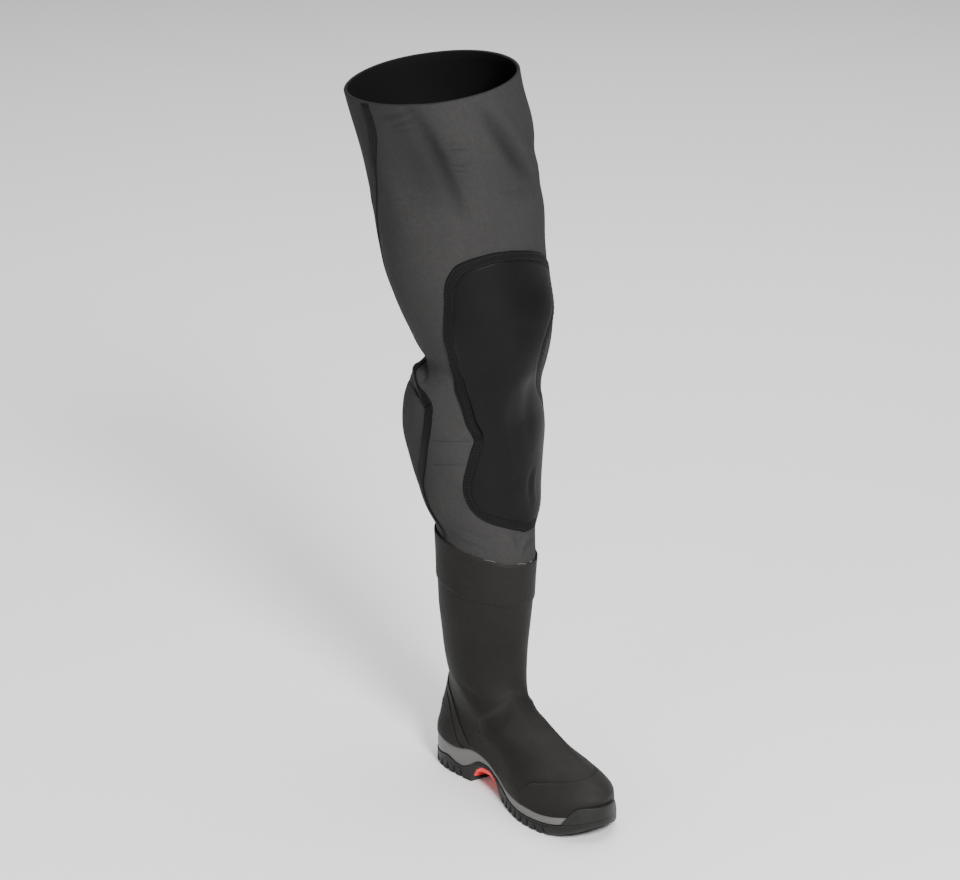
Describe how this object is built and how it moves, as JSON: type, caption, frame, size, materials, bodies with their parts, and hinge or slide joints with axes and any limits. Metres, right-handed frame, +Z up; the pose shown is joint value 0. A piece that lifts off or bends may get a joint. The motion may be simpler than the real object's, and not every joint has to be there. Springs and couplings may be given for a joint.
{
  "type": "neoprene chest wader",
  "caption": "Left leg of a neoprene chest wader: empty tapered leg with knee pad and taped seams, joined to a rubber boot with cuff, toe cap, bumper, grey band, lugged sole and red arch plate.",
  "frame": {"origin": "on the floor, on the flat face of the heel's middle lug, straight below the middle of the boot's shaft", "axes": "+X to the toe, +Y to the outer (lateral) side of this left foot, +Z up; metres"},
  "size_m": [0.3808, 0.2296, 0.86],
  "materials": {
    "outsole_rubber": "matte",
    "insert_rubber": "satin",
    "band_rubber": "satin",
    "bumper_rubber": "matte",
    "insole_foam": "matte",
    "boot_rubber": "satin",
    "counter_rubber": "satin",
    "cap_rubber": "satin",
    "cuff_rubber": "satin",
    "neoprene": "matte",
    "pad_fabric": "matte",
    "binding_fabric": "matte",
    "seam_tape": "matte",
    "gusset_tape": "matte"
  },
  "bodies": {
    "root": {"outsole": "outsole_rubber", "arch_insert": "insert_rubber", "midsole": "band_rubber", "toe_bumper": "bumper_rubber", "insole": "insole_foam", "boot_upper": "boot_rubber", "heel_counter": "counter_rubber", "toe_cap": "cap_rubber", "boot_cuff": "cuff_rubber", "wader_leg": "neoprene", "knee_pad": "pad_fabric", "knee_pad_binding": "binding_fabric", "inseam_tape": "seam_tape", "gusset_tape": "gusset_tape"}
  },
  "joints": []
}
